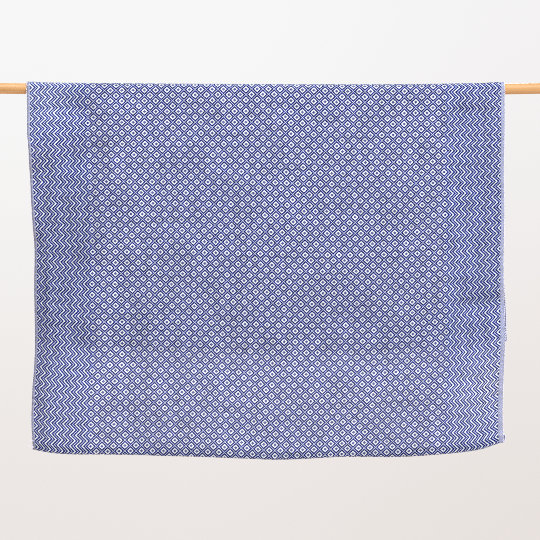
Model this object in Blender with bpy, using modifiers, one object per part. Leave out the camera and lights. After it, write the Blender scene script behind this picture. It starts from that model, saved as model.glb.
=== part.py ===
"""Tea towel hanging over a round wooden rod.

Units are metres and +Z is up. X runs along the rod and -Y faces the viewer. The origin is the
middle of the rod, at the height of its two ends. The towel is one woven sheet with a folded hem
at each end. Its front layer hangs lower than its back layer.
"""

import math
from collections import namedtuple

import bmesh
import bpy
from mathutils import Matrix

MM = 0.001

# Rod
ROD_LENGTH = 600 * MM
ROD_RADIUS = 5.65 * MM
ROD_CHAMFER = 0.5 * MM
ROD_SIDES = 32
ROD_SPANS = 12

# Cloth
CLOTH_WIDTH = 500 * MM
CLOTH_THICKNESS = 1.1 * MM
HEM_THICKNESS = 2.0 * MM
HEM_DEPTH = 8 * MM
HEM_STEP = 1.2 * MM
ROD_GAP = 0.5 * MM
SELVEDGE_LIFT = 0.8 * MM
SELVEDGE_REACH = 26 * MM
CREST_RADIUS = ROD_RADIUS + ROD_GAP + CLOTH_THICKNESS

# Mesh density of the cloth
COLUMNS = 36
FRONT_ROWS = 27
CREST_ROWS = 8
BACK_ROWS = 18

# The left selvedge rolls away from the viewer over this reach, most at this drop.
ROLL_DEPTH = 10 * MM
ROLL_REACH = 72 * MM
ROLL_DROP = 206 * MM
ROLL_SPAN = 172 * MM
BACK_ROLL_SHARE = 0.8

# Folds fade out towards the rod over this drop. The back layer copies part of each front fold.
FOLD_FADE = 45 * MM
BACK_FOLD_SHARE = 0.45

# How far the rod's axis lies below the height of its ends, in mm.
Sag = namedtuple("Sag", "x sag")
ROD_SAG = (
    Sag(-300, 0.0),
    Sag(-180, 1.25),
    Sag(-60, 2.1),
    Sag(60, 2.6),
    Sag(140, 2.45),
    Sag(220, 1.4),
    Sag(300, 0.0),
)

# Where both selvedges hang at each drop below the rod, in mm.
Level = namedtuple("Level", "drop left right")
FRONT_LEVELS = (
    Level(0, -250.0, 250.0),
    Level(95, -247.7, 248.9),
    Level(170, -243.3, 249.2),
    Level(265, -242.3, 249.6),
    Level(340, -245.8, 248.1),
    Level(374, -244.4, 250.1),
)
BACK_LEVELS = (
    Level(0, -250.0, 250.0),
    Level(120, -246.5, 249.6),
    Level(208, -242.5, 251.2),
    Level(268, -240.0, 254.2),
)

# How low each hem hangs below the rod's ends, at stations across the cloth, in mm.
Hem = namedtuple("Hem", "across front back")
HEM_LINE = (
    Hem(-250, 379.0, 268.0),
    Hem(-218, 382.4, 269.5),
    Hem(-175, 384.0, 271.0),
    Hem(-92, 385.6, 273.5),
    Hem(0, 388.6, 277.0),
    Hem(38, 388.3, 276.5),
    Hem(85, 386.3, 274.5),
    Hem(135, 386.1, 273.0),
    Hem(175, 383.3, 271.5),
    Hem(225, 378.9, 269.0),
    Hem(250, 373.0, 267.5),
)

# Soft folds of the front layer, each along a line, in mm. Height is towards the viewer.
Fold = namedtuple("Fold", "name x0 drop0 x1 drop1 half_width height")
FOLDS = (
    Fold("corner_crease", -176, 40, -240, 78, 24, -2.4),
    Fold("corner_swell", -236, 18, -228, 42, 34, 2.0),
    Fold("upper_left_ridge", -132, 40, -128, 180, 46, 2.4),
    Fold("centre_trough", 5, 40, 8, 125, 38, -1.6),
    Fold("right_ridge", 168, 70, 174, 215, 46, 2.0),
    Fold("right_furrow", 216, 130, 213, 262, 28, -2.8),
    Fold("lower_left_ridge", -158, 275, -172, 395, 50, 3.4),
    Fold("lower_middle_ridge", -32, 280, -20, 400, 56, 3.0),
    Fold("lower_right_ridge", 92, 272, 84, 330, 52, 2.8),
    Fold("lower_right_trough", 132, 325, 168, 350, 40, -2.4),
    Fold("right_corner_swell", 238, 280, 242, 395, 46, 4.2),
)


def through(rows, key, value, at):
    """Reads a smooth curve through one column of a table, in metres."""
    at = at / MM
    last = len(rows) - 1
    span = 0
    while span < last - 1 and at > getattr(rows[span + 1], key):
        span += 1
    before, start, end, after = (rows[max(0, min(last, span + step))] for step in (-1, 0, 1, 2))
    x0 = getattr(start, key)
    x1 = getattr(end, key)
    y0 = getattr(start, value)
    y1 = getattr(end, value)
    rise0 = (y1 - getattr(before, value)) / (x1 - getattr(before, key))
    rise1 = (getattr(after, value) - y0) / (getattr(after, key) - x0)
    width = x1 - x0
    u = min(max((at - x0) / width, 0.0), 1.0)
    smooth = (
        (2 * u**3 - 3 * u**2 + 1) * y0
        + (u**3 - 2 * u**2 + u) * width * rise0
        + (3 * u**2 - 2 * u**3) * y1
        + (u**3 - u**2) * width * rise1
    )
    return smooth * MM


def bump(distance, reach):
    """A rounded hump: 1 in its middle, 0 from its reach outwards."""
    u = min(abs(distance) / reach, 1.0)
    return (1 - u * u) ** 2


def distance_to_line(x, drop, fold):
    """Distance from a point of the cloth to a fold's line."""
    dx = (fold.x1 - fold.x0) * MM
    dy = (fold.drop1 - fold.drop0) * MM
    px = x - fold.x0 * MM
    py = drop - fold.drop0 * MM
    along = min(max((px * dx + py * dy) / (dx * dx + dy * dy), 0.0), 1.0)
    return math.hypot(px - along * dx, py - along * dy)


def relief(x, drop):
    """How far the folds push the front layer towards the viewer."""
    height = 0.0
    for fold in FOLDS:
        distance = distance_to_line(x, drop, fold)
        height += fold.height * MM * bump(distance, fold.half_width * MM)
    return height * (1 - bump(drop, FOLD_FADE))


def roll(x, drop):
    """How far the rolled left selvedge lies away from the viewer."""
    left = through(FRONT_LEVELS, "drop", "left", drop)
    inward = min(max((x - left) / ROLL_REACH, 0.0), 1.0)
    return ROLL_DEPTH * (1 - inward) ** 2 * bump(drop - ROLL_DROP, ROLL_SPAN)


def layer_x(across, drop, levels):
    """X of a warp thread at a drop below the rod."""
    left = through(levels, "drop", "left", drop)
    right = through(levels, "drop", "right", drop)
    return left + (right - left) * (across / CLOTH_WIDTH + 0.5)


def rod_height(x):
    """Height of the rod's bowed axis."""
    return -through(ROD_SAG, "x", "sag", x)


def front_point(across, fraction):
    """A point of the front layer. Fraction runs from 0 at the rod to 1 at the hem."""
    start = rod_height(across)
    drop = fraction * (through(HEM_LINE, "across", "front", across) + start) - start
    x = layer_x(across, max(drop, 0.0), FRONT_LEVELS)
    return x, roll(x, drop) - CREST_RADIUS - relief(x, drop), -drop


def back_point(across, fraction):
    """A point of the back layer. Fraction runs from 0 at the rod to 1 at the hem."""
    start = rod_height(across)
    drop = fraction * (through(HEM_LINE, "across", "back", across) + start) - start
    x = layer_x(across, max(drop, 0.0), BACK_LEVELS)
    pushed = BACK_ROLL_SHARE * roll(x, drop) - BACK_FOLD_SHARE * relief(x, drop)
    return x, CREST_RADIUS + pushed, -drop


def crest_point(across, turn):
    """A point where the cloth wraps the rod. Turn runs from 0 in front to 1 behind."""
    angle = turn * math.pi
    from_selvedge = CLOTH_WIDTH / 2 - abs(across)
    lift = SELVEDGE_LIFT * bump(from_selvedge, SELVEDGE_REACH)
    height = (CREST_RADIUS + lift) * math.sin(angle)
    return across, -CREST_RADIUS * math.cos(angle), rod_height(across) + height


def cloth_rows():
    """The cloth's rows from the front hem over the rod to the back hem."""
    middle = len(HEM_LINE) // 2
    front_hem = HEM_DEPTH / (HEM_LINE[middle].front * MM)
    front_step = HEM_STEP / (HEM_LINE[middle].front * MM)
    back_hem = HEM_DEPTH / (HEM_LINE[middle].back * MM)
    back_step = HEM_STEP / (HEM_LINE[middle].back * MM)
    front_free = 1 - front_hem - front_step
    back_free = 1 - back_hem - back_step
    rows = [(front_point, 1.0, 1.0), (front_point, 1 - front_hem, 1.0)]
    rows += [(front_point, front_free * (1 - i / FRONT_ROWS), 0.0) for i in range(FRONT_ROWS)]
    rows += [(crest_point, i / CREST_ROWS, 0.0) for i in range(CREST_ROWS + 1)]
    rows += [(back_point, back_free * (i + 1) / BACK_ROWS, 0.0) for i in range(BACK_ROWS)]
    rows += [(back_point, 1 - back_hem, 1.0), (back_point, 1.0, 1.0)]
    return rows


def principled(name, color, roughness):
    """A plain material of one colour."""
    material = bpy.data.materials.new(name)
    material.use_nodes = True
    shader = material.node_tree.nodes["Principled BSDF"]
    shader.inputs["Base Color"].default_value = (*color, 1.0)
    shader.inputs["Roughness"].default_value = roughness
    shader.inputs["Metallic"].default_value = 0.0
    material.diffuse_color = (*color, 1.0)
    return material


def woven_cotton():
    """Blue and white cotton, at the mean colour of its weave."""
    return principled("woven_cotton", (0.34, 0.36, 0.51), 0.9)


def pale_wood():
    """Light, unvarnished softwood."""
    return principled("pale_wood", (0.76, 0.52, 0.29), 0.55)


def add_object(name, bm, material, collection):
    """Stores a bmesh as a named, smooth-shaded object."""
    mesh = bpy.data.meshes.new(name)
    bm.to_mesh(mesh)
    bm.free()
    mesh.materials.append(material)
    mesh.shade_smooth()
    mesh.set_sharp_from_angle(angle=math.radians(40))
    piece = bpy.data.objects.new(name, mesh)
    collection.objects.link(piece)
    return piece


def make_rod(collection):
    """The rod: a bowed round bar with flat, upright, chamfered ends."""
    bm = bmesh.new()
    bmesh.ops.create_cone(
        bm,
        cap_ends=True,
        segments=ROD_SIDES,
        radius1=ROD_RADIUS,
        radius2=ROD_RADIUS,
        depth=ROD_LENGTH,
        matrix=Matrix.Rotation(math.radians(90), 4, "Y"),
    )
    rims = [e for e in bm.edges if abs(e.verts[0].co.x - e.verts[1].co.x) < ROD_CHAMFER]
    bmesh.ops.bevel(
        bm, geom=rims, offset=ROD_CHAMFER, segments=1, profile=0.5, affect="EDGES", material=-1
    )
    for i in range(1, ROD_SPANS):
        cut = ROD_LENGTH * (i / ROD_SPANS - 0.5)
        everything = bm.verts[:] + bm.edges[:] + bm.faces[:]
        bmesh.ops.bisect_plane(bm, geom=everything, plane_co=(cut, 0, 0), plane_no=(1, 0, 0))
    for vert in bm.verts:
        vert.co.z += rod_height(vert.co.x)
    return add_object("rod", bm, pale_wood(), collection)


def make_towel(collection):
    """The towel: a grid laid over the rod, thickened inwards, with thicker hems."""
    rows = cloth_rows()
    row_spans = len(rows) - 1
    bm = bmesh.new()
    bmesh.ops.create_grid(bm, x_segments=COLUMNS, y_segments=row_spans, size=0.5)
    group_layer = bm.verts.layers.deform.verify()
    for vert in bm.verts:
        across = vert.co.x * CLOTH_WIDTH
        place, amount, hem_weight = rows[round((vert.co.y + 0.5) * row_spans)]
        vert[group_layer][0] = hem_weight
        vert.co = place(across, amount)
    towel = add_object("towel", bm, woven_cotton(), collection)
    towel.vertex_groups.new(name="hem")
    body = towel.modifiers.new("body", "SOLIDIFY")
    body.thickness = HEM_THICKNESS
    body.offset = -1
    body.use_even_offset = True
    body.vertex_group = "hem"
    body.thickness_vertex_group = CLOTH_THICKNESS / HEM_THICKNESS
    return towel


def clear_scene():
    """Removes whatever the file holds at the start."""
    for piece in list(bpy.data.objects):
        bpy.data.objects.remove(piece, do_unlink=True)


def main():
    """Builds the towel and its rod in one collection."""
    clear_scene()
    collection = bpy.data.collections.new("tea_towel_on_rod")
    bpy.context.scene.collection.children.link(collection)
    make_rod(collection)
    make_towel(collection)


main()
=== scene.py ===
"""Looks of a blue and white tea towel that hangs over a pale wooden rod.

The towel is one fine sheet, draped by thread number: each end (a thread along the cloth) and each
pick (a thread across it) has its place, so the twill's diamonds and chevrons follow every sag and
fold. Its hems are turned up behind. Lengths are metres, except for those of the drape, the loops,
the loose threads and their tables, which are mm.
"""

import logging
import math
import random
from collections.abc import Callable, Iterator, Sequence
from dataclasses import dataclass, fields
from enum import Enum

import bmesh
import bpy
from mathutils import Matrix, Vector, noise


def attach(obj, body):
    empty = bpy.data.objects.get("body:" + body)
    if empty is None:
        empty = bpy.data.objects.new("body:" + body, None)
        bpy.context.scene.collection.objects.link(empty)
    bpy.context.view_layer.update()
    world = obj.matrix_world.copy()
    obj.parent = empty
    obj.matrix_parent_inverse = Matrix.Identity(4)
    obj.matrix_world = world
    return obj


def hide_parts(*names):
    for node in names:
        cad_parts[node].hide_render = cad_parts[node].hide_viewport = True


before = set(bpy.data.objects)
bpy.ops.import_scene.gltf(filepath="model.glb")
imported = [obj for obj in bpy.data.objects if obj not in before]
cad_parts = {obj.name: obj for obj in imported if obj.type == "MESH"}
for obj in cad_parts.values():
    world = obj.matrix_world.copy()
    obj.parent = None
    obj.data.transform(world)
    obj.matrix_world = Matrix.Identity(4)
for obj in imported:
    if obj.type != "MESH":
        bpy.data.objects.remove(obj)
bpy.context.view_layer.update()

MM = 0.001
BODY = "root"
THREAD_FILTER = 0.96

Material = bpy.types.Material
Piece = bpy.types.Object
Shape = bmesh.types.BMesh
Socket = bpy.types.NodeSocket
Input = Socket | float
Triple = tuple[float, float, float]

log = logging.getLogger("tea_towel")


def table(kind: Callable, *rows: tuple) -> tuple:
    """A table of one kind of row, from the values of each row."""
    return tuple(kind(*row) for row in rows)


def curve_through(rows: Sequence[object], key: str, value: str, at: float) -> float:
    """Reads a smooth curve through one column of a table.

    Args:
        rows: The table's rows, in rising order of key.
        key: The column that at is measured along.
        value: The column to read.
        at: Where to read it, in the table's own units.

    Returns:
        The value there, held at its end values outside the table.
    """
    last = len(rows) - 1
    span = 0
    while span < last - 1 and at > getattr(rows[span + 1], key):
        span += 1
    before, start, end, after = (rows[max(0, min(last, span + step))] for step in (-1, 0, 1, 2))
    x0, x1 = getattr(start, key), getattr(end, key)
    y0, y1 = getattr(start, value), getattr(end, value)
    rise0 = (y1 - getattr(before, value)) / (x1 - getattr(before, key))
    rise1 = (getattr(after, value) - y0) / (getattr(after, key) - x0)
    width = x1 - x0
    u = min(max((at - x0) / width, 0.0), 1.0)
    return (
        (2 * u**3 - 3 * u**2 + 1) * y0
        + (u**3 - 2 * u**2 + u) * width * rise0
        + (3 * u**2 - 2 * u**3) * y1
        + (u**3 - u**2) * width * rise1
    )


def smooth_between(
    places: Sequence[float], values: Sequence[float], at: float, straight: float = 0.35
) -> float:
    """Blends smoothly between values held at rising places.

    Args:
        places: Where the values are known, rising.
        values: The value at each place.
        at: Where to read.
        straight: How far the blend keeps to a straight line, from 0 to 1.

    Returns:
        The blended value.
    """
    at = min(max(at, places[0]), places[-1])
    for i in range(len(places) - 1):
        if at <= places[i + 1]:
            break
    u = (at - places[i]) / (places[i + 1] - places[i])
    u = straight * u + (1 - straight) * u * u * (3 - 2 * u)
    return values[i] + (values[i + 1] - values[i]) * u


def bump(distance: float, reach: float) -> float:
    """A rounded hump: 1 in its middle, 0 from its reach outwards."""
    u = min(abs(distance) / reach, 1.0)
    return (1 - u * u) ** 2


class Side(Enum):
    """The two faces of the woven cloth."""

    FACE = 0
    REVERSE = 1


@dataclass(frozen=True)
class Band:
    """A stripe of the draft: so many ends that take up so many mm across the cloth."""

    name: str
    ends: int
    width: float


@dataclass(frozen=True)
class RodSag:
    """How far the rod's axis lies below its ends, in mm."""

    x: float
    sag: float


@dataclass(frozen=True)
class Station:
    """One place across the cloth: its hems' drops in mm and the picks from hem to rod.

    fold is the pick that the front hem is folded on, as a hem strays a little from the threads.
    ease is how much further apart the picks lie near the rod than near the hem.
    """

    across: float
    front: float
    back: float
    fold: float
    picks: float
    ease: float


@dataclass(frozen=True)
class WarpShift:
    """How far the ends have drifted sideways at a drop, in mm, at seven places across."""

    drop: float
    left: float
    near_left: float
    middle: float
    half_right: float
    near_right: float
    right: float
    selvedge: float


@dataclass(frozen=True)
class Fold:
    """A soft ridge or trough along a line, in mm. Height is towards the viewer."""

    name: str
    x0: float
    drop0: float
    x1: float
    drop1: float
    half_width: float
    height: float

    def at(self, x: float, drop: float) -> float:
        """Height of this fold at a point of the cloth.

        Args:
            x: Place along the rod, in mm.
            drop: Distance below the rod, in mm.

        Returns:
            The fold's height there, in mm.
        """
        dx = self.x1 - self.x0
        dy = self.drop1 - self.drop0
        px = x - self.x0
        py = drop - self.drop0
        along = min(max((px * dx + py * dy) / (dx * dx + dy * dy), 0.0), 1.0)
        distance = math.hypot(px - along * dx, py - along * dy)
        return self.height * bump(distance, self.half_width)


@dataclass(frozen=True)
class Draft:
    """The weaver's draft: an eight-shaft point twill with straight-drawn borders."""

    bands: tuple[Band, ...] = table(
        Band,
        ("left_selvedge", 4, 2.7),
        ("left_chevrons", 72, 60.4),
        ("left_diamonds", 42, 36.1),
        ("middle_diamonds_left", 219, 185.6),
        ("middle_diamonds_right", 139, 118.5),
        ("right_diamonds", 42, 36.2),
        ("right_chevrons", 71, 58.9),
        ("right_selvedge", 5, 3.4),
    )
    left_edge: float = -250.6
    shafts: int = 8
    pick_point: int = 11
    back_picks: float = 340.0

    @property
    def ends(self) -> int:
        """All the ends across the cloth."""
        return sum(band.ends for band in self.bands)

    def first_end(self, name: str) -> int:
        """The first end of a band."""
        names = [band.name for band in self.bands]
        return sum(band.ends for band in self.bands[: names.index(name)])

    def across(self, end: float) -> float:
        """Place of an end across the flat cloth.

        Args:
            end: Its number from the left selvedge.

        Returns:
            Its place along the rod, in mm.
        """
        place = self.left_edge
        for band in self.bands:
            here = min(end, band.ends)
            place += here / band.ends * band.width
            end -= here
        return place


def finished_object(
    name: str, bm: Shape, materials: Sequence[Material], sharp_angle: float = 60
) -> Piece:
    """Stores a bmesh as a smooth-shaded object at the origin.

    Args:
        name: The object's name.
        bm: The shape, which is freed.
        materials: Its materials, in slot order.
        sharp_angle: Edges steeper than this many degrees stay sharp.

    Returns:
        The new object, linked to the scene.
    """
    mesh = bpy.data.meshes.new(name)
    bm.to_mesh(mesh)
    bm.free()
    for material in materials:
        mesh.materials.append(material)
    mesh.shade_smooth()
    mesh.set_sharp_from_angle(angle=math.radians(sharp_angle))
    piece = bpy.data.objects.new(name, mesh)
    bpy.context.scene.collection.objects.link(piece)
    return piece


def towel_piece(name: str, bm: Shape, material: Material) -> Piece:
    """Stores a small piece of the towel's cloth, which rides with it.

    Args:
        name: The piece's name.
        bm: Its shape, which is freed.
        material: Its material.

    Returns:
        The piece's object.
    """
    bmesh.ops.recalc_face_normals(bm, faces=bm.faces[:])
    piece = finished_object(name, bm, [material])
    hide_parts("towel")
    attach(piece, BODY)
    return piece


@dataclass
class RodBar:
    """The plain round rod: a bowed bar of pale wood with flat, chamfered ends."""

    length: float = 600 * MM
    radius: float = 5.65 * MM
    chamfer: float = 0.5 * MM
    chamfer_steps: int = 3
    sharp_angle: float = 50.0
    sides: int = 64
    spans: int = 60
    flutter: float = 0.05 * MM
    flutter_scale: Triple = (9.0, 60.0, 60.0)
    flutter_rise: float = 20.0
    sags: tuple[RodSag, ...] = table(
        RodSag,
        (-300, 0.0),
        (-180, 1.25),
        (-60, 2.1),
        (60, 2.6),
        (140, 2.45),
        (220, 1.4),
        (300, 0.0),
    )

    def height(self, x: float) -> float:
        """Height of the bowed axis at x, both in mm."""
        return -curve_through(self.sags, "x", "sag", x)

    def build(self, material: Material) -> Piece:
        """Makes the rod in place of its plain solid.

        Args:
            material: The wood.

        Returns:
            The rod's object.
        """
        bm = bmesh.new()
        bmesh.ops.create_cone(
            bm,
            cap_ends=True,
            segments=self.sides,
            radius1=self.radius,
            radius2=self.radius,
            depth=self.length,
            matrix=Matrix.Rotation(math.radians(90), 4, "Y"),
        )
        rims = [e for e in bm.edges if abs(e.verts[0].co.x - e.verts[1].co.x) < self.chamfer]
        bmesh.ops.bevel(
            bm,
            geom=rims,
            offset=self.chamfer,
            segments=self.chamfer_steps,
            profile=0.5,
            affect="EDGES",
            material=-1,
        )
        for i in range(1, self.spans):
            cut = self.length * (i / self.spans - 0.5)
            everything = bm.verts[:] + bm.edges[:] + bm.faces[:]
            bmesh.ops.bisect_plane(bm, geom=everything, plane_co=(cut, 0, 0), plane_no=(1, 0, 0))
        for vert in bm.verts:
            self.bow(vert)
        rod = finished_object("rod_bar", bm, [material], self.sharp_angle)
        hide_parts("rod")
        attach(rod, BODY)
        return rod

    def bow(self, vert: bmesh.types.BMVert) -> None:
        """Bows the bar, and leaves the surface a little uneven, as sanded wood is.

        Args:
            vert: A vertex of the straight bar.
        """
        place = Vector([length * scale for length, scale in zip(vert.co, self.flutter_scale)])
        inner = max(0.0, 1 - abs(vert.co.x) / (self.length / 2))
        calm = min(inner * self.flutter_rise, 1.0)
        swell = 1 + self.flutter / self.radius * noise.noise(place) * calm
        vert.co.y *= swell
        vert.co.z = vert.co.z * swell + self.height(vert.co.x / MM) * MM


@dataclass
class Drape:
    """Where each thread of the towel hangs, in mm."""

    draft: Draft
    rod: RodBar
    thickness: float = 0.9
    half_width: float = 250.0
    front_length: float = 388.0
    back_length: float = 275.0
    rod_gap: float = 0.3
    selvedge_lift: float = 0.8
    selvedge_reach: float = 26.0
    hem_depth: float = 8.0
    hem_radius: float = 1.05
    hem_slip: float = 2.2
    hem_slip_reach: float = 40.0
    roll_depth: float = 14.0
    roll_reach: float = 81.0
    roll_curve: float = 1.2
    roll_drop: float = 206.0
    roll_span: float = 172.0
    back_roll_share: float = 0.8
    fold_fade: float = 30.0
    back_fold_share: float = 0.45
    back_curl: float = 2.6
    back_curl_from: float = 252.0
    back_curl_reach: float = 6.0
    dent: float = 0.45
    dent_size: float = 34.0
    dent_seed: float = 3.1
    fine_dent: float = 0.4
    fine_dent_scale: tuple[float, float] = (2.7, 2.1)
    fine_dent_seed: float = 9.4
    stations: tuple[Station, ...] = table(
        Station,
        (-250, 381.0, 268.0, -0.3, 480.7, -0.016),
        (-218, 384.8, 269.5, 0.2, 477.5, -0.010),
        (-179, 385.8, 271.0, 0.5, 475.5, -0.006),
        (-100, 387.5, 273.5, -2.5, 476.5, 0.006),
        (-21, 389.8, 276.8, -2.2, 474.7, 0.015),
        (5, 390.9, 277.0, -0.5, 472.5, 0.011),
        (31, 390.5, 276.6, -0.8, 473.8, 0.018),
        (84, 388.2, 274.5, 0.6, 474.5, 0.015),
        (135, 388.3, 273.0, -2.5, 477.7, 0.018),
        (175, 385.5, 271.5, -2.6, 478.5, 0.014),
        (225, 380.7, 269.0, 0.2, 479.0, -0.012),
        (250, 373.3, 267.5, 2.3, 477.8, -0.009),
    )
    shift_places: tuple[float, ...] = (-250, -165, 5, 110, 178, 247, 251)
    front_shifts: tuple[WarpShift, ...] = table(
        WarpShift,
        (0, 0.0, 0.0, 0.0, 0.0, 0.0, 0.0, 0.0),
        (45, 0.7, 0.5, 0.0, -0.1, -0.8, -0.2, 0.1),
        (66, 2.4, 1.2, 0.4, 0.3, -0.6, -0.4, -0.3),
        (87, 2.6, 1.9, 0.9, 0.7, -0.5, -0.7, -0.8),
        (129, 4.0, 3.8, 2.0, 1.4, 0.5, 0.1, -0.1),
        (171, 5.7, 5.8, 3.1, 2.0, 1.0, -0.7, -0.9),
        (207, 5.2, 5.1, 4.0, 3.0, 1.0, -0.9, -0.9),
        (239, 6.0, 6.2, 4.6, 3.4, 1.5, -1.2, 0.0),
        (270, 6.9, 6.3, 4.5, 3.5, 2.3, -1.7, 0.0),
        (297, 6.3, 5.5, 4.0, 3.5, 1.6, -2.7, -0.9),
        (318, 5.1, 4.5, 3.4, 2.7, -0.3, -3.5, -1.6),
        (349, 4.4, 3.9, 2.4, 0.6, -2.0, -4.0, -2.0),
        (378, 6.0, 3.0, 0.7, -0.8, -2.1, -2.7, -0.8),
    )
    back_shifts: tuple[WarpShift, ...] = table(
        WarpShift,
        (0, 0.0, 0.0, 0.0, 0.0, 0.0, 0.0, 0.0),
        (120, 3.5, 3.0, 1.8, 1.2, 0.4, -0.4, -0.6),
        (205, 7.5, 6.4, 4.0, 2.8, 1.4, 1.0, 0.9),
        (232, 8.5, 7.0, 4.8, 3.6, 2.4, 2.8, 2.8),
        (268, 10.0, 8.0, 6.0, 4.6, 3.4, 3.2, 3.2),
    )
    folds: tuple[Fold, ...] = table(
        Fold,
        ("corner_valley", -198, 8, -196, 62, 34, -7.4),
        ("corner_swell", -248, 62, -206, 48, 36, 7.4),
        ("edge_swell", -250, 118, -200, 112, 30, 1.5),
        ("border_ridge", -160, 20, -160, 235, 52, 4.8),
        ("centre_ridge", 18, 40, 14, 135, 30, 1.5),
        ("right_ridge", 140, 70, 144, 215, 46, 1.6),
        ("right_furrow", 217, 30, 215, 262, 34, -4.8),
        ("middle_swell", 2, 125, -14, 238, 48, 4.2),
        ("lower_left_ridge", -204, 246, -220, 380, 64, 6.4),
        ("lower_left_furrow", -152, 195, -134, 372, 34, -4.6),
        ("broad_swell", -80, 186, 120, 190, 54, 2.6),
        ("hem_trough", -140, 292, 180, 291, 25, -1.3),
        ("lower_left_swell", -222, 314, -140, 312, 42, 2.8),
        ("left_edge_curl", -247, 165, -247, 385, 20, -5.0),
        ("left_dimple", -142, 235, -142, 285, 16, -1.0),
        ("lower_middle_ridge", -74, 270, -70, 345, 38, 1.8),
        ("lower_right_swell", 40, 314, 176, 320, 42, 2.6),
        ("right_corner_swell", 223, 272, 170, 384, 50, 6.8),
        ("right_pinch", 216, 230, 250, 224, 15, -3.2),
        ("small_dimple", 4, 46, 7, 66, 13, -0.7),
        ("middle_hem_flare", -20, 398, 34, 398, 46, 3.0),
        ("right_hem_flare", 186, 388, 214, 384, 38, 3.6),
        ("left_hem_tuck", -238, 390, -165, 396, 34, -2.4),
    )

    @property
    def crest_radius(self) -> float:
        """Radius of the cloth's outer face over the rod."""
        return self.rod.radius / MM + self.rod_gap + self.thickness

    def reading(self, column: str, across: float) -> float:
        """One column of the stations at a place across the cloth."""
        return curve_through(self.stations, "across", column, across)

    def shift(self, across: float, drop: float, shifts: tuple[WarpShift, ...]) -> float:
        """Sideways drift of a thread.

        Args:
            across: The thread's place across the flat cloth.
            drop: Its distance below the rod.
            shifts: The drifts of the front or the back layer.

        Returns:
            How far it has moved along +X.
        """
        names = [field.name for field in fields(WarpShift)][1:]
        values = [curve_through(shifts, "drop", name, drop) for name in names]
        return smooth_between(self.shift_places, values, across)

    def relief(self, x: float, drop: float) -> float:
        """How far the folds and small dents push the front layer towards the viewer.

        Args:
            x: Place along the rod.
            drop: Distance below the rod.

        Returns:
            The height.
        """
        height = sum(fold.at(x, drop) for fold in self.folds)
        over, down = x / self.dent_size, drop / self.dent_size
        broad = noise.noise(Vector((over, down, self.dent_seed)))
        wide, high = self.fine_dent_scale
        fine = noise.noise(Vector((over * wide, down * high, self.fine_dent_seed)))
        height += self.dent * (broad + self.fine_dent * fine)
        return height * (1 - bump(drop, self.fold_fade))

    def roll(self, x: float, drop: float) -> float:
        """How far the rolled left selvedge lies away from the viewer.

        Args:
            x: Place along the rod.
            drop: Distance below the rod.

        Returns:
            The depth.
        """
        left = curve_through(self.front_shifts, "drop", "left", drop) - self.half_width
        inward = min(max((x - left) / self.roll_reach, 0.0), 1.0)
        depth = self.roll_depth * (1 - inward) ** self.roll_curve
        return depth * bump(drop - self.roll_drop, self.roll_span)

    def front(self, across: float, drop: float) -> Vector:
        """A point of the front layer.

        Args:
            across: Place across the flat cloth.
            drop: Distance below the rod's ends.

        Returns:
            The point.
        """
        x = across + self.shift(across, max(drop, 0.0), self.front_shifts)
        y = self.roll(x, drop) - self.crest_radius - self.relief(x, drop)
        return Vector((x, y, -drop))

    def back(self, across: float, drop: float) -> Vector:
        """A point of the back layer.

        Args:
            across: Place across the flat cloth.
            drop: Distance below the rod's ends.

        Returns:
            The point.
        """
        x = across + self.shift(across, max(drop, 0.0), self.back_shifts)
        pushed = self.back_roll_share * self.roll(x, drop)
        pushed -= self.back_fold_share * self.relief(x, drop)
        curl = self.back_curl * bump(self.back_curl_from - across, self.back_curl_reach)
        pushed -= curl * (1 - bump(drop, self.roll_drop))
        return Vector((x, self.crest_radius + pushed, -drop))

    def crest(self, across: float, turn: float) -> Vector:
        """A point where the cloth wraps the rod.

        Args:
            across: Place across the flat cloth.
            turn: 0 in front of the rod, 1 behind it.

        Returns:
            The point.
        """
        angle = turn * math.pi
        lift = self.selvedge_lift * bump(self.half_width - abs(across), self.selvedge_reach)
        height = (self.crest_radius + lift) * math.sin(angle)
        y = -self.crest_radius * math.cos(angle)
        return Vector((across, y, self.rod.height(across) + height))

    def drop(self, layer: str, across: float, share: float) -> float:
        """Drop of a pick of one layer.

        Args:
            layer: The layer's column in the stations, front or back.
            across: Place across the flat cloth.
            share: 0 for the pick beside the rod, 1 for the hem's fold.

        Returns:
            Its drop.
        """
        start = -self.rod.height(across)
        ease = self.reading("ease", across) if layer == "front" else 0.0
        length = self.reading(layer, across) - start
        return start + length * (share + ease * share * (1 - share))

    def turned(self, across: float, past: float, layer: Callable, hem: float) -> Vector:
        """A point of the turned-up hem, behind its layer.

        Args:
            across: Place across the flat cloth.
            past: Distance past the hem's fold line.
            layer: The method that places the layer's own points.
            hem: The hem's drop there.

        Returns:
            The point.
        """
        radius = self.hem_radius
        inwards, slip = (1, self.hem_slip) if layer == self.front else (-1, 0.0)
        angle = min(past / radius, math.pi)
        risen = max(past - math.pi * radius, 0.0)
        point = layer(across, hem - radius + radius * math.sin(angle) - risen)
        point.y += inwards * radius * (1 - math.cos(angle))
        beside = bump(self.half_width - across, self.hem_slip_reach)
        point.x += slip * beside * min(past / self.hem_depth, 1.0)
        return point


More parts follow.
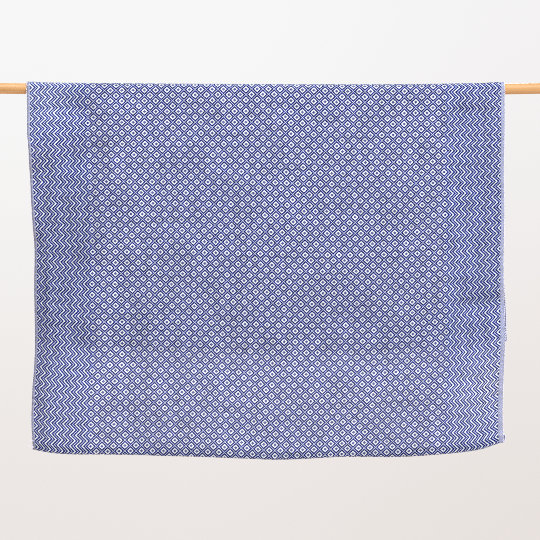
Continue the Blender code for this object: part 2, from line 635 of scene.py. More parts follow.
@dataclass
class TowelSheet:
    """The towel's one sheet, from its front hem over the rod to its back hem."""

    drape: Drape
    columns: int = 160
    front_rows: int = 122
    crest_rows: int = 14
    back_rows: int = 86
    turn_rows: int = 6
    flap_rows: int = 4
    flat: tuple[float, float] = (0.5, 0.7)
    face_share: float = 0.68
    map_gap: float = 0.01

    def rows(self) -> list[tuple[str, float]]:
        """Lists the sheet's rows.

        Returns:
            The rows in order, each with its stretch of cloth and its place there.
        """
        drape = self.drape
        turn = math.pi * drape.hem_radius
        flap = drape.hem_depth - drape.hem_radius
        hem = [turn + flap * (1 - i / self.flap_rows) for i in range(self.flap_rows)]
        hem += [turn * (1 - i / self.turn_rows) for i in range(self.turn_rows)]
        near_hem = 1 - drape.hem_radius / drape.front_length
        rows = [("front_hem", past) for past in hem]
        rows += [("front", near_hem * (1 - i / self.front_rows)) for i in range(self.front_rows)]
        rows += [("crest", i / self.crest_rows) for i in range(self.crest_rows + 1)]
        near_hem = 1 - drape.hem_radius / drape.back_length
        rows += [("back", near_hem * (i + 1) / self.back_rows) for i in range(self.back_rows)]
        rows += [("back_hem", past) for past in reversed(hem)]
        return rows

    def place(self, end: float, stretch: str, amount: float) -> tuple[Vector, float]:
        """Place and pick number of one point of the sheet.

        Args:
            end: Its end, counted from the left selvedge.
            stretch: The stretch of cloth that its row belongs to.
            amount: How far along that stretch it lies.

        Returns:
            The point in mm, and its pick counted from the front hem's fold.
        """
        drape = self.drape
        across = drape.draft.across(end)
        picks, fold = drape.reading("picks", across), drape.reading("fold", across)
        front = drape.drop("front", across, 1.0)
        pitch = front / picks
        if stretch == "front_hem":
            return drape.turned(across, amount, drape.front, front), fold - amount / pitch
        if stretch == "front":
            drop = drape.drop("front", across, amount)
            return drape.front(across, drop), fold + picks * (1 - amount)
        over = math.pi * drape.crest_radius / pitch
        rod = fold + picks
        if stretch == "crest":
            return drape.crest(across, amount), rod + over * amount
        if stretch == "back":
            drop = drape.drop("back", across, amount)
            return drape.back(across, drop), rod + over + drape.draft.back_picks * amount
        hem = drape.drop("back", across, 1.0)
        past = drape.draft.back_picks + amount / pitch
        return drape.turned(across, amount, drape.back, hem), rod + over + past

    def build(self, face: Material, reverse: Material) -> Piece:
        """Makes the sheet, gives it its thickness and dresses both its sides.

        Args:
            face: The material of the cloth's face.
            reverse: The material of its reverse, where the two yarns change places.

        Returns:
            The towel's object.
        """
        rows = self.rows()
        spans = len(rows) - 1
        bm = bmesh.new()
        bmesh.ops.create_grid(bm, x_segments=self.columns, y_segments=spans, size=0.5)
        cloth = bm.loops.layers.uv.new("cloth")
        threads = {}
        for vert in bm.verts:
            end = (vert.co.x + 0.5) * self.drape.draft.ends
            point, pick = self.place(end, *rows[round((vert.co.y + 0.5) * spans)])
            vert.co = point * MM
            threads[vert] = (end * MM, pick * MM)
        for polygon in bm.faces:
            for loop in polygon.loops:
                loop[cloth].uv = threads[loop.vert]
        sheet = finished_object("towel_sheet", bm, [face, reverse])
        self.thicken(sheet)
        self.lay_out(sheet)
        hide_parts("towel")
        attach(sheet, BODY)
        return sheet

    def thicken(self, sheet: Piece) -> None:
        """Gives the sheet its thickness on the side that faces the rod.

        Args:
            sheet: The thin sheet.
        """
        body = sheet.modifiers.new("body", "SOLIDIFY")
        body.thickness = self.drape.thickness * MM
        body.offset = -1
        body.use_even_offset = True
        body.material_offset = Side.REVERSE.value
        body.material_offset_rim = Side.FACE.value
        evaluated = sheet.evaluated_get(bpy.context.evaluated_depsgraph_get())
        solid = bpy.data.meshes.new_from_object(evaluated)
        sheet.modifiers.clear()
        thin = sheet.data
        sheet.data = solid
        bpy.data.meshes.remove(thin)
        solid.name = sheet.name

    def lay_out(self, sheet: Piece) -> None:
        """Adds a map with the face and the reverse side by side, for baked colours.

        Args:
            sheet: The finished sheet, whose first map holds the thread numbers.
        """
        mesh = sheet.data
        cloth = mesh.uv_layers["cloth"].data
        baked = mesh.uv_layers.new(name="OFBake").data
        ends = self.drape.draft.ends * MM
        low = min(loop.uv.y for loop in cloth)
        high = max(loop.uv.y for loop in cloth)
        for polygon in mesh.polygons:
            face = polygon.material_index == Side.FACE.value
            start = 0.0 if face else self.face_share + self.map_gap
            width = self.face_share if face else 1 - self.map_gap - self.face_share
            for index in polygon.loop_indices:
                u, v = cloth[index].uv
                baked[index].uv = (start + width * u / ends, (v - low) / (high - low))
        mesh.uv_layers.active = mesh.uv_layers["cloth"]


def add_yarn(bm: Shape, points: Sequence[Vector], radius: float, sides: int = 5) -> None:
    """Lays a round yarn along points and closes both its ends.

    Args:
        bm: The shape that it joins.
        points: Its path, in metres.
        radius: Its radius, in metres.
        sides: How many sides it has.
    """
    before: list[bmesh.types.BMEdge] = []
    last = len(points) - 1
    for i, point in enumerate(points):
        ahead = points[min(i + 1, last)] - points[max(i - 1, 0)]
        turn = ahead.to_track_quat("Z", "Y").to_matrix().to_4x4()
        made = bmesh.ops.create_circle(
            bm,
            cap_ends=i in (0, last),
            segments=sides,
            radius=radius,
            matrix=Matrix.Translation(point) @ turn,
        )
        ring = list({edge for vert in made["verts"] for edge in vert.link_edges})
        if before:
            bmesh.ops.bridge_loops(bm, edges=before + ring)
        before = ring


@dataclass
class SelvedgeLoops:
    """The small loops where the weft turns back round the outer end of each selvedge, in mm."""

    towel: TowelSheet
    pitch: float = 2.5
    half_width: float = 0.95
    reach: float = 0.5
    yarn_radius: float = 0.4
    inset: float = 0.45
    unevenness: float = 0.3
    bends: int = 4
    seed: int = 11

    def build(self, yarn: Material) -> Piece:
        """Makes the loops of both selvedges as one piece.

        Args:
            yarn: The weft's material.

        Returns:
            The loops' object.
        """
        single = self.loop()
        bm = bmesh.new()
        chance = random.Random(self.seed)
        for end, inner in ((0.0, 1.0), (self.towel.drape.draft.ends, -1.0)):
            for centre, along, outwards, rodward in self.turns(end, end + inner):
                out = chance.uniform(-self.unevenness, self.unevenness) - self.inset
                turn = Matrix((along, outwards, rodward)).transposed().to_4x4()
                known = len(bm.verts)
                bm.from_mesh(single)
                bm.verts.ensure_lookup_table()
                place = Matrix.Translation((centre + outwards * out) * MM) @ turn
                bmesh.ops.transform(bm, matrix=place, verts=bm.verts[known:])
        bpy.data.meshes.remove(single)
        return towel_piece("selvedge_loops", bm, yarn)

    def loop(self) -> bpy.types.Mesh:
        """Makes a single loop.

        Returns:
            The loop, which lies along X and stands out along Y.
        """
        points = []
        for i in range(self.bends + 1):
            angle = math.pi * i / self.bends
            out = (self.reach + self.inset) * math.sin(angle)
            points.append(Vector((-self.half_width * math.cos(angle), out, 0)) * MM)
        bm = bmesh.new()
        add_yarn(bm, points, self.yarn_radius * MM)
        single = bpy.data.meshes.new("weft_loop")
        bm.to_mesh(single)
        bm.free()
        return single

    def turns(self, end: float, inner: float) -> Iterator[tuple[Vector, Vector, Vector, Vector]]:
        """Walks along a selvedge.

        Args:
            end: The outermost end.
            inner: The end next to it.

        Yields:
            The middle of each turn in mm, its direction, the way outwards and the way inwards.
        """
        rows = self.towel.rows()
        path = [self.towel.place(end, *row)[0] for row in rows]
        inside = [self.towel.place(inner, *row)[0] for row in rows]
        walked, due = 0.0, self.pitch / 2
        for here, there, beside in zip(path, path[1:], inside):
            step = there - here
            along = step.normalized()
            rodward = along.cross(beside - here).normalized() * (1 if inner > end else -1)
            outwards = rodward.cross(along) * (1 if inner < end else -1)
            while due <= walked + step.length:
                centre = here.lerp(there, (due - walked) / step.length)
                centre += rodward * self.towel.drape.thickness / 2
                yield centre, along, outwards, rodward
                due += self.pitch
            walked += step.length


@dataclass(frozen=True)
class Stray:
    """A loose thread end, in mm: where it leaves the cloth, and where it hangs to."""

    x: float
    drop: float
    out_x: float
    out_drop: float
    bow: float


@dataclass
class StrayThreads:
    """Loose pale thread ends at the front hem's corners, in mm."""

    towel: TowelSheet
    radius: float = 0.22
    depth: float = 1.2
    bends: int = 5
    bow_way: Triple = (0.0, -0.4, 1.0)
    strays: tuple[Stray, ...] = table(
        Stray,
        (-243.0, 371.6, -248.4, 371.0, 0.8),
        (-243.0, 377.2, -249.6, 375.8, -0.7),
        (-243.2, 378.6, -247.3, 380.0, 0.6),
        (-244.0, 366.0, -247.0, 368.6, 0.5),
        (249.2, 364.0, 252.4, 366.4, 0.6),
        (249.5, 369.6, 252.0, 371.8, -0.5),
    )

    def build(self, yarn: Material) -> Piece:
        """Makes the threads as one piece.

        Args:
            yarn: Their material.

        Returns:
            The threads' object.
        """
        bm = bmesh.new()
        for stray in self.strays:
            surface = self.towel.drape.front(stray.x, stray.drop).y + self.depth
            start = Vector((stray.x, surface, -stray.drop))
            finish = Vector((stray.out_x, surface, -stray.out_drop))
            points = []
            for i in range(self.bends + 1):
                share = i / self.bends
                bow = Vector(self.bow_way) * stray.bow * math.sin(math.pi * share)
                points.append((start.lerp(finish, share) + bow) * MM)
            add_yarn(bm, points, self.radius * MM)
        return towel_piece("stray_threads", bm, yarn)


class NodeBench:
    """A material's or a world's node tree, with short ways to add its nodes.

    A Mix node's inputs go by number: 2 and 3 take two numbers, 6 and 7 take two colours.
    """

    def __init__(self, owner: Material | bpy.types.World) -> None:
        """Empties the tree.

        Args:
            owner: The material or the world that the tree belongs to.
        """
        self.owner = owner
        owner.use_nodes = True
        owner.node_tree.nodes.clear()

    def node(
        self, kind: str, inputs: dict[int | str, object] | None = None, **settings: object
    ) -> bpy.types.Node:
        """Adds a node.

        Args:
            kind: Its type.
            inputs: What each input gets: another node's output, a number, a vector or a colour.
            settings: Its other settings.

        Returns:
            The node.
        """
        made = self.owner.node_tree.nodes.new(kind)
        for name, value in settings.items():
            setattr(made, name, value)
        for key, value in (inputs or {}).items():
            socket = made.inputs[key]
            if isinstance(value, Socket):
                self.owner.node_tree.links.new(value, socket)
            else:
                socket.default_value = (*value, 1) if socket.type == "RGBA" else value
        return made

    def math(self, operation: str, *values: Input, clamp: bool = False) -> Socket:
        """Adds a Math node on its values."""
        inputs = dict(enumerate(values))
        return self.node("ShaderNodeMath", inputs, operation=operation, use_clamp=clamp).outputs[0]

    def blend(
        self, factor: Input, first: Socket | Triple, second: Socket | Triple, mode: str = "MIX"
    ) -> Socket:
        """Mixes two colours, by how much of the second one shows."""
        inputs = {0: factor, 6: first, 7: second}
        return self.node("ShaderNodeMix", inputs, data_type="RGBA", blend_type=mode).outputs[2]

    def pick_one(self, test: Socket, no: Input, yes: Input) -> Socket:
        """Gives one number or the other by a test of 0 or 1."""
        return self.node("ShaderNodeMix", {0: test, 2: no, 3: yes}, data_type="FLOAT").outputs[0]

    def fade(self, value: Socket, ends: tuple[float, float], low: float, high: float) -> Socket:
        """Goes smoothly from low to high while a value goes from one end to the other.

        Args:
            value: The value to follow.
            ends: Where the change starts and where it is over.
            low: What it gives up to the start.
            high: What it gives from the end on.

        Returns:
            The changing amount.
        """
        start, end = ends
        inputs = {"Value": value, "From Min": start, "From Max": end, "To Min": low, "To Max": high}
        return self.node("ShaderNodeMapRange", inputs, interpolation_type="SMOOTHSTEP").outputs[0]

    def noise(self, vector: Socket, scale: float, detail: float) -> bpy.types.Node:
        """Adds a noise over a vector."""
        inputs = {"Vector": vector, "Scale": scale, "Detail": detail}
        return self.node("ShaderNodeTexNoise", inputs)

    def streaks(self, vector: Socket, scale: Triple, detail: float) -> Socket:
        """A noise that is drawn out along one way."""
        drawn = self.node("ShaderNodeMapping", {"Vector": vector, "Scale": scale}).outputs[0]
        return self.noise(drawn, 1.0, detail).outputs[0]

    def grey(self, value: Socket) -> Socket:
        """Turns one number into a grey colour."""
        return self.node("ShaderNodeCombineColor", dict.fromkeys(range(3), value)).outputs[0]

    def relief(self, height: Socket, strength: float, distance: float) -> Socket:
        """Turns a height into the slopes of a fine relief."""
        inputs = {"Height": height, "Strength": strength, "Distance": distance}
        return self.node("ShaderNodeBump", inputs).outputs[0]

    def surface(self, inputs: dict[str, object]) -> Socket:
        """Adds a Principled surface."""
        return self.node("ShaderNodeBsdfPrincipled", inputs).outputs[0]

    def finish(self, shader: Socket) -> Material | bpy.types.World:
        """Links the shader to an output.

        Args:
            shader: The last shader.

        Returns:
            The finished material or world.
        """
        world = isinstance(self.owner, bpy.types.World)
        kind = "ShaderNodeOutputWorld" if world else "ShaderNodeOutputMaterial"
        self.node(kind, {"Surface": shader})
        return self.owner


@dataclass(frozen=True)
class ClothFinish:
    """The twill's yarns, how far they float over each other, and how they take the light.

    Floats are placed by the twill's step, which counts the draft's eight crossings from a blue
    one. White covers a wide band about one step and a narrow line about another. Points and radii
    on the cloth are in thousands of threads, and noise scales are per thousand threads.
    """

    draft: Draft
    white: Triple = (0.94, 0.975, 0.945)
    line_white: Triple = (0.78, 0.83, 0.96)
    blue: Triple = (0.0, 0.0, 0.045)
    worn_blue: Triple = (0.082, 0.096, 0.485)
    worn_border_blue: Triple = (0.077, 0.108, 0.55)
    wear_scale: float = 800.0
    wear_contrast: float = 3.5
    wear_start: float = -1.42
    # Painted shade of the hem band: how many picks from the fold it covers, and how much darker it
    # is.
    hem_picks: float = 9.0
    hem_shade: float = 0.11
    # A paler blue and slightly longer white floats about one point near the top-left corner, by the
    # rod.
    faded_blue: Triple = (0.085, 0.115, 0.33)
    faded_middle: Triple = (0.012, 0.477, 0.0)
    patch_radius: float = 0.075
    patch_paling: float = 0.36
    patch_slack: float = 0.1
    dot_blue: Triple = (0.165, 0.16, 0.35)
    selvedge_pale: Triple = (0.59, 0.60, 0.71)
    selvedge_blue: Triple = (0.27, 0.29, 0.48)
    # Painted shade: the reverse selvedge's pale yarn is dark, for the back layer's strip that peeks
    # out in shade.
    reverse_selvedge_painted_shade: Triple = (0.20, 0.18, 0.34)
    gap_light: Triple = (0.88, 0.88, 0.92)
    gap_tint: float = 0.8
    lean: float = 0.85
    white_step: float = 3.11
    white_reach: float = 0.91
    line_step: float = 7.0
    line_reach: float = 0.455
    slack_middle: Triple = (0.585, 0.08, 0.0)
    slack_radius: float = 0.085
    slack: float = 0.14
    dot_reach: float = 2.1
    dot_least: float = 0.45
    waver: float = 0.8
    waver_scale: float = 36.0
    waver_detail: float = 1.0
    yarn_spread: float = 0.26
    weft_streak: float = 0.64
    weft_streak_scale: Triple = (14.0, 240.0, 1.0)
    warp_streak: float = 0.56
    warp_streak_scale: Triple = (150.0, 17.0, 1.0)
    yarn_detail: float = 2.0
    mottle: float = 0.2
    mottle_scale: float = 60.0
    mottle_detail: float = 3.0
    hollow_shade: float = 0.86
    thread_height: float = 0.0003
    thread_relief: float = 0.5
    through_face: float = 0.245
    through_reverse: float = 0.48
    roughness: float = 0.9
    specular: float = 0.02

    def material(self, side: Side) -> Material:
        """Builds the cloth as it looks from one side."""
        return TwillBench(self, side).build()


class TwillBench(NodeBench):
    """The nodes of one side of the cloth, which work its draft out from the thread count."""

    def __init__(self, look: ClothFinish, side: Side) -> None:
        """Starts the material and counts its threads.

        Args:
            look: The cloth's finish.
            side: The face, or the reverse, where blue and white change places.
        """
        super().__init__(bpy.data.materials.new(f"diamond_twill_{side.name.lower()}"))
        self.look = look
        self.side = side
        self.cloth = self.node("ShaderNodeUVMap", uv_map="cloth").outputs[0]
        place = self.node("ShaderNodeSeparateXYZ", {0: self.cloth}).outputs
        waver = self.noise(self.cloth, look.waver_scale, look.waver_detail).outputs["Color"]
        drift = self.node("ShaderNodeSeparateColor", {0: waver}).outputs
        self.ends, self.picks = (self.thread_count(place[i], drift[i]) for i in (0, 1))
        self.end, self.pick = self.math("FLOOR", self.ends), self.math("FLOOR", self.picks)

    def thread_count(self, place: Socket, drift: Socket) -> Socket:
        """Thread number at a place of the map, with the slight waver of real threads."""
        moved = self.math("MULTIPLY_ADD", drift, self.look.waver, -self.look.waver / 2)
        return self.math("ADD", self.math("MULTIPLY", place, 1 / MM), moved)

    def build(self) -> Material:
        """Builds the material.

        Returns:
            The finished cloth.
        """
        look = self.look
        # A paler blue, and white floats that reach a little further, about one point near the
        # top-left corner.
        paler_patch = self.about(look.faded_middle, look.patch_radius, 1.0)
        slack = self.about(look.slack_middle, look.slack_radius, look.slack)
        slack = self.math("MULTIPLY_ADD", paler_patch, look.patch_slack, slack)
        broad, line, dot, field = self.floats(slack)
        selvedge = self.in_selvedge()
        plain = self.math("FLOORED_MODULO", self.math("ADD", self.end, self.pick), 2.0)
        white = self.pick_one(selvedge, self.math("MAXIMUM", broad, line), plain)
        if self.side == Side.REVERSE:
            white = self.math("SUBTRACT", 1.0, white)
        # Painted shade: in the hem band every yarn is darker and the blue less worn, as the doubled
        # cloth lets less light through.
        in_hem = self.math("LESS_THAN", self.pick, look.hem_picks)
        painted_hem_shade = self.math("MULTIPLY_ADD", in_hem, -look.hem_shade, 1.0)
        # On the reverse the selvedge's pale yarn takes a dark colour: painted shade of the back
        # layer's strip beside the front.
        edge = look.selvedge_pale if self.side == Side.FACE else look.reverse_selvedge_painted_shade
        pale = self.blend(selvedge, self.blend(line, look.white, look.line_white), edge)
        worn = self.blend(field, look.worn_border_blue, look.worn_blue)
        deep = self.blend(self.math("MULTIPLY", self.wear(), painted_hem_shade), look.blue, worn)
        deep = self.blend(self.math("MULTIPLY", paler_patch, look.patch_paling), deep, look.faded_blue)
        deep = self.blend(self.dot_depth(dot), deep, look.dot_blue)
        deep = self.blend(selvedge, deep, look.selvedge_blue)
        yarn = self.blend(white, deep, pale)
        height = self.thread_profile(white)
        shade = self.math("MULTIPLY_ADD", height, 1 - look.hollow_shade, look.hollow_shade)
        shade = self.math("MULTIPLY", shade, painted_hem_shade)
        shade = self.math("MULTIPLY", shade, self.unevenness(white))
        colour = self.blend(1.0, yarn, self.grey(shade), "MULTIPLY")
        return self.finish(self.shader(colour, height, yarn))

    def leaning(self, threads: Socket, thread: Socket) -> Socket:
        """Thread number drawn towards the thread's middle, as floats lean on their neighbours.

        Args:
            threads: The thread number with its fraction.
            thread: The whole thread number.

        Returns:
            The thread number that the draft is worked with.
        """
        within = self.math("SUBTRACT", self.math("FRACT", threads), 0.5)
        middle = self.math("ADD", thread, 0.5)
        return self.math("MULTIPLY_ADD", within, self.look.lean, middle)

    def about(self, middle: Triple, radius: float, most: float) -> Socket:
        """An amount that is greatest at one point of the cloth and dies away about it.

        Args:
            middle: The point.
            radius: How far the amount reaches.
            most: The amount at the point itself.

        Returns:
            The amount.
        """
        inputs = {0: self.cloth, 1: middle}
        away = self.node("ShaderNodeVectorMath", inputs, operation="DISTANCE").outputs["Value"]
        return self.fade(away, (0.0, radius), most, 0.0)

    def floats(self, slack: Socket) -> tuple[Socket, Socket, Socket, Socket]:
        """Works the draft.

        Ends are drawn to a point between the first and last points and straight outside them.
        Picks are treadled to a point throughout.

        Args:
            slack: How much further the floats reach.

        Returns:
            Tests for the broad white floats, the thin white lines, the diamonds' blue dots and
            the field of diamonds.
        """
        look, draft = self.look, self.look.draft
        ends, picks = self.leaning(self.ends, self.end), self.leaning(self.picks, self.pick)
        first = draft.first_end("left_diamonds") + 0.5
        last = draft.first_end("right_chevrons") - 0.5
        half = draft.shafts - 1.0
        straight = self.math("SUBTRACT", first, ends)
        pointed = self.math("PINGPONG", self.math("SUBTRACT", ends, first), half)
        after = self.math("GREATER_THAN", ends, first)
        field = self.math("MULTIPLY", after, self.math("LESS_THAN", ends, last))
        shaft = self.pick_one(field, straight, pointed)
        treadle = self.math("SUBTRACT", picks, draft.pick_point + 0.5)
        total = self.math("ADD", shaft, self.math("PINGPONG", treadle, half))
        chevron = self.math("FLOORED_MODULO", total, float(draft.shafts))
        inwards = self.math("ABSOLUTE", self.math("SUBTRACT", total, half))
        step = self.pick_one(field, chevron, self.math("SUBTRACT", half, inwards))
        middles = ((look.white_step, look.white_reach), (look.line_step, look.line_reach))
        broad, line = (
            self.math("COMPARE", step, middle, self.math("ADD", slack, reach))
            for middle, reach in middles
        )
        dot = self.math("LESS_THAN", step, look.dot_reach)
        return broad, line, self.math("MULTIPLY", dot, field), field

    def in_selvedge(self) -> Socket:
        """Tests for the plain-woven ends at either side.

        Returns:
            1 on them and 0 between them.
        """
        draft = self.look.draft
        left = self.math("LESS_THAN", self.end, draft.first_end("left_chevrons") - 0.5)
        right = self.math("GREATER_THAN", self.end, draft.first_end("right_selvedge") - 0.5)
        return self.math("MAXIMUM", left, right)

    def thread_profile(self, white: Socket) -> Socket:
        """Height of the uppermost thread.

        Args:
            white: Where white lies uppermost.

        Returns:
            0 at the thread's edges and 1 along its middle.
        """
        across, along = (
            self.math("SINE", self.math("MULTIPLY", self.math("FRACT", threads), math.pi))
            for threads in (self.ends, self.picks)
        )
        return self.pick_one(white, across, along)

    def wear(self) -> Socket:
        """How pale the blue yarn is worn.

        Returns:
            From 0 for the deepest blue to 1 for the palest.
        """
        look = self.look
        fibres = self.noise(self.cloth, look.wear_scale, look.yarn_detail).outputs[0]
        return self.math("MULTIPLY_ADD", fibres, look.wear_contrast, look.wear_start, clamp=True)

    def dot_depth(self, dot: Socket) -> Socket:
        """How much of the dots' own blue shows, more on some ends than on others.

        Args:
            dot: Where the diamonds' dots lie.

        Returns:
            The share of the dots' blue.
        """
        least = self.look.dot_least
        own = self.math("MULTIPLY_ADD", self.chance(self.end), 1 - least, least)
        return self.math("MULTIPLY", dot, own)

    def unevenness(self, white: Socket) -> Socket:
        """Brightness that differs a little from thread to thread and from place to place.

        Args:
            white: Where white lies uppermost.

        Returns:
            The brightness, about 1.
        """
        look = self.look
        own = self.chance(self.pick_one(white, self.end, self.pick))
        total = self.math("MULTIPLY_ADD", own, look.yarn_spread, 1 - look.yarn_spread / 2)
        mottle = self.noise(self.cloth, look.mottle_scale, look.mottle_detail).outputs[0]
        weft = self.streaks(self.cloth, look.weft_streak_scale, look.yarn_detail)
        warp = self.streaks(self.cloth, look.warp_streak_scale, look.yarn_detail)
        amounts = (look.mottle, look.weft_streak, look.warp_streak)
        for uneven, amount in zip((mottle, weft, warp), amounts):
            total = self.math("ADD", total, self.math("MULTIPLY_ADD", uneven, amount, -amount / 2))
        return total

    def chance(self, thread: Socket) -> Socket:
        """A number from 0 to 1 that each thread keeps along its whole length."""
        inputs = {"W": thread}
        return self.node("ShaderNodeTexWhiteNoise", inputs, noise_dimensions="1D").outputs[0]

    def shader(self, colour: Socket, height: Socket, yarn: Socket) -> Socket:
        """A soft matte surface that lets a share of the light through between its threads.

        Args:
            colour: The shaded cloth's colour.
            height: Height of the uppermost thread.
            yarn: The uppermost yarn's own colour, which tints the light through the face.

        Returns:
            The cloth's shader.
        """
        look = self.look
        inputs = {
            "Base Color": colour,
            "Normal": self.relief(height, look.thread_relief, look.thread_height),
            "Roughness": look.roughness,
            "Specular IOR Level": look.specular,
        }
        share, gap = look.through_reverse, look.gap_light
        if self.side == Side.FACE:
            share, gap = look.through_face, self.blend(look.gap_tint, gap, yarn)
        through = self.node("ShaderNodeBsdfTranslucent", {"Color": gap}).outputs[0]
        mixed = self.node("ShaderNodeMixShader", {0: share, 1: self.surface(inputs), 2: through})
        return mixed.outputs[0]


@dataclass(frozen=True)
class YarnFinish:
    """The loose pale yarn at the cloth's edges."""

    colour: Triple = (0.74, 0.71, 0.81)
    roughness: float = 0.9

    def material(self) -> Material:
        """Builds the plain matte yarn."""
        bench = NodeBench(bpy.data.materials.new("pale_yarn"))
        return bench.finish(bench.surface({"Base Color": self.colour, "Roughness": self.roughness}))


@dataclass(frozen=True)
class Grain:
    """One noise of the wood's grain: how it is drawn out, its detail and its weight."""

    scale: Triple
    detail: float
    weight: float


@dataclass(frozen=True)
class WoodFinish:
    """Pale softwood with a fine straight grain. The last and finest grain also stands up."""

    light: Triple = (0.66, 0.358, 0.14)
    dark: Triple = (0.50, 0.244, 0.082)
    dark_until: float = 0.3
    light_from: float = 0.72
    grains: tuple[Grain, ...] = table(
        Grain,
        ((6.0, 260.0, 260.0), 5.0, 0.75),
        ((14.0, 40.0, 40.0), 2.0, 0.5),
        ((22.0, 1500.0, 1500.0), 3.0, 0.45),
    )
    grain_start: float = -0.35
    grain_height: float = 0.00006
    grain_relief: float = 0.4
    roughness: float = 0.45
    specular: float = 0.6

    def material(self) -> Material:
        """Builds the wood on the rod's own coordinates.

        Returns:
            The wood.
        """
        bench = NodeBench(bpy.data.materials.new("pale_wood"))
        place = bench.node("ShaderNodeTexCoord").outputs["Object"]
        total = self.grain_start
        for grain in self.grains:
            streaks = bench.streaks(place, grain.scale, grain.detail)
            total = bench.math("MULTIPLY_ADD", streaks, grain.weight, total)
        ramp = bench.node("ShaderNodeValToRGB", {0: total})
        stops = ((self.dark_until, self.dark), (self.light_from, self.light))
        for element, (position, colour) in zip(ramp.color_ramp.elements, stops):
            element.position = position
            element.color = (*colour, 1)
        inputs = {
            "Base Color": ramp.outputs[0],
            "Normal": bench.relief(streaks, self.grain_relief, self.grain_height),
            "Roughness": self.roughness,
            "Specular IOR Level": self.specular,
        }
        return bench.finish(bench.surface(inputs))


@dataclass(frozen=True)
class Lamp:
    """A square soft light: its place, side, watts and colour, and the point that it faces."""

    name: str
    place: Triple
    size: float
    power: float
    colour: Triple
    aim: Triple = (0.0, 0.0, -0.2)

    def build(self) -> None:
        """Adds the light to the scene, turned to its aim."""
        light = bpy.data.lights.new(self.name, "AREA")
        light.size = self.size
        light.energy = self.power
        light.color = self.colour
        holder = bpy.data.objects.new(self.name, light)
        holder.location = self.place
        turn = (Vector(self.aim) - Vector(self.place)).to_track_quat("-Z", "Y")
        holder.rotation_euler = turn.to_euler()
        bpy.context.scene.collection.objects.link(holder)


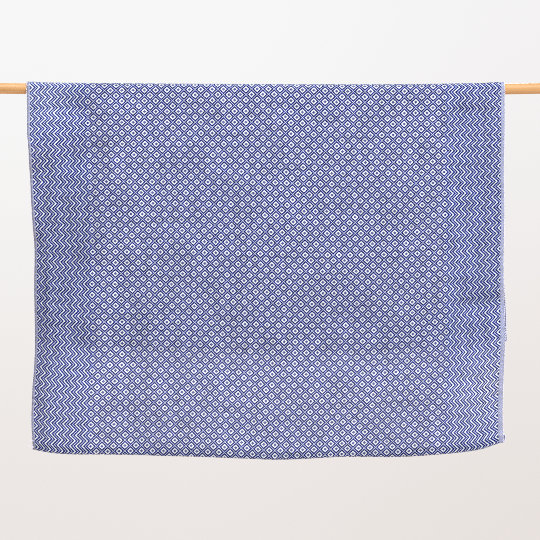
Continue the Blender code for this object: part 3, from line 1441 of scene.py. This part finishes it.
@dataclass
class Studio:
    """A pale floor that sweeps up behind, soft light and the photo's camera.

    The lamps are a far one from the right, a near one from above, and weak ones behind and below.
    """

    floor_height: float = -2.8
    wall_distance: float = 4.2
    bend: float = 1.2
    half_width: float = 8.0
    near_edge: float = -7.0
    wall_top: float = 6.0
    bend_steps: int = 12
    paper_colour: Triple = (0.1, 0.1, 0.1)
    paper_roughness: float = 0.95
    # Painted light: the paper's glow, brighter above, dimmer and warmer below, with painted shade
    # towards the right.
    upper_glow: Triple = (0.835, 0.837, 0.835)
    lower_glow: Triple = (0.73, 0.69, 0.662)
    glow_heights: tuple[float, float] = (-1.2, 0.7)
    right_shade: Triple = (0.960, 0.945, 0.942)
    shade_ends: tuple[float, float] = (-0.3, 1.0)
    daylight: Triple = (0.92, 0.972, 1.045)
    room_light: Triple = (1.02, 0.96, 1.03)
    room_strength: float = 0.275
    floor_light: Triple = (1.0, 0.79, 0.55)
    lamps: tuple[Lamp, ...] = table(
        Lamp,
        ("key_light", (5.2, -5.2, 3.2), 2.0, 545.0, daylight),
        ("top_light", (-0.1, -1.0, 1.2), 0.9, 25.0, daylight),
        ("back_light", (0.3, 3.6, 1.5), 1.0, 76.0, room_light),
        ("left_floor_light", (-0.9, -0.02, -1.5), 0.3, 9.0, floor_light, (-0.3, 0.0, 0.0)),
        ("right_floor_light", (0.9, -0.02, -1.5), 0.3, 9.0, floor_light, (0.3, 0.0, 0.0)),
    )
    frame_width: float = 0.5672
    focal_length: float = 120.0
    sensor: float = 36.0
    aim: Triple = (0.0048, -0.008, -0.1917)

    def build(self) -> None:
        """Makes the sweep, the lamps, the room around them and the camera."""
        self.sweep()
        for lamp in self.lamps:
            lamp.build()
        bpy.context.scene.world = self.room()
        self.camera()

    def sweep(self) -> None:
        """Makes the floor and the wall, as one curved sheet."""
        side = -self.half_width
        outline = [(side, self.near_edge, self.floor_height)]
        centre_y = self.wall_distance - self.bend
        centre_z = self.floor_height + self.bend
        for i in range(self.bend_steps + 1):
            angle = math.pi / 2 * i / self.bend_steps
            y = centre_y + self.bend * math.sin(angle)
            outline.append((side, y, centre_z - self.bend * math.cos(angle)))
        outline.append((side, self.wall_distance, self.wall_top))
        bm = bmesh.new()
        verts = [bm.verts.new(point) for point in outline]
        edges = [bm.edges.new(pair) for pair in zip(verts, verts[1:])]
        grown = bmesh.ops.extrude_edge_only(bm, edges=edges)
        moved = [item for item in grown["geom"] if isinstance(item, bmesh.types.BMVert)]
        bmesh.ops.translate(bm, verts=moved, vec=(2 * self.half_width, 0, 0))
        bmesh.ops.recalc_face_normals(bm, faces=bm.faces[:])
        finished_object("studio_sweep", bm, [self.paper()])

    def paper(self) -> Material:
        """Builds matte paper that looks pale by a soft glow, which is painted light: brighter at
        the top, dimmer and warmer towards the floor, and dimmer towards the right as painted shade.

        Returns:
            The paper.
        """
        bench = NodeBench(bpy.data.materials.new("studio_paper"))
        place = bench.node("ShaderNodeTexCoord").outputs["Object"]
        split = bench.node("ShaderNodeSeparateXYZ", {0: place}).outputs
        # Painted light: the glow dims and warms towards the floor.
        rise = bench.fade(split[2], self.glow_heights, 0.0, 1.0)
        # Painted shade: the glow is dimmer towards the right.
        right_painted_shade = bench.fade(split[0], self.shade_ends, 0.0, 1.0)
        glow = bench.blend(rise, self.lower_glow, self.upper_glow)
        inputs = {
            "Base Color": self.paper_colour,
            "Roughness": self.paper_roughness,
            "Emission Color": bench.blend(right_painted_shade, glow, self.right_shade, "MULTIPLY"),
            "Emission Strength": 1.0,
        }
        return bench.finish(bench.surface(inputs))

    def room(self) -> bpy.types.World:
        """Builds a room that looks as pale as the paper but adds little light of its own.

        Returns:
            The room's world.
        """
        bench = NodeBench(bpy.data.worlds.new("pale_room"))
        inputs = {"Color": self.room_light, "Strength": self.room_strength}
        dim = bench.node("ShaderNodeBackground", inputs).outputs[0]
        pale = bench.node("ShaderNodeBackground", {"Color": self.lower_glow}).outputs[0]
        seen = bench.node("ShaderNodeLightPath").outputs["Is Camera Ray"]
        either = bench.node("ShaderNodeMixShader", {0: seen, 1: dim, 2: pale})
        return bench.finish(either.outputs[0])

    def camera(self) -> None:
        """Looks straight at the cloth, so that its plane fills the frame as in the photo."""
        lens = bpy.data.cameras.new("photo_camera")
        lens.sensor_width = self.sensor
        lens.lens = self.focal_length
        holder = bpy.data.objects.new("photo_camera", lens)
        distance = self.frame_width * self.focal_length / self.sensor
        holder.location = Vector(self.aim) - Vector((0, distance, 0))
        holder.rotation_euler = (math.radians(90), 0, 0)
        bpy.context.scene.collection.objects.link(holder)
        bpy.context.scene.camera = holder


def keep_threads_crisp() -> None:
    """Shows the photo's plain colours, and keeps threads under a pixel wide unblurred."""
    scene = bpy.context.scene
    scene.view_settings.view_transform = "Standard"
    scene.cycles.use_denoising = False
    scene.cycles.filter_width = THREAD_FILTER


def main() -> None:
    """Builds the rod, the towel and the studio in order."""
    logging.basicConfig(level=logging.INFO, format="%(message)s")
    keep_threads_crisp()
    draft = Draft()
    rod_bar = RodBar()
    rod = rod_bar.build(WoodFinish().material())
    finish = ClothFinish(draft)
    towel = TowelSheet(Drape(draft, rod_bar))
    sheet = towel.build(finish.material(Side.FACE), finish.material(Side.REVERSE))
    yarn = YarnFinish().material()
    loops = SelvedgeLoops(towel).build(yarn)
    strays = StrayThreads(towel).build(yarn)
    for piece in (rod, sheet, loops, strays):
        log.info("%s: %d faces", piece.name, len(piece.data.polygons))
    Studio().build()


if __name__ == "__main__":
    main()
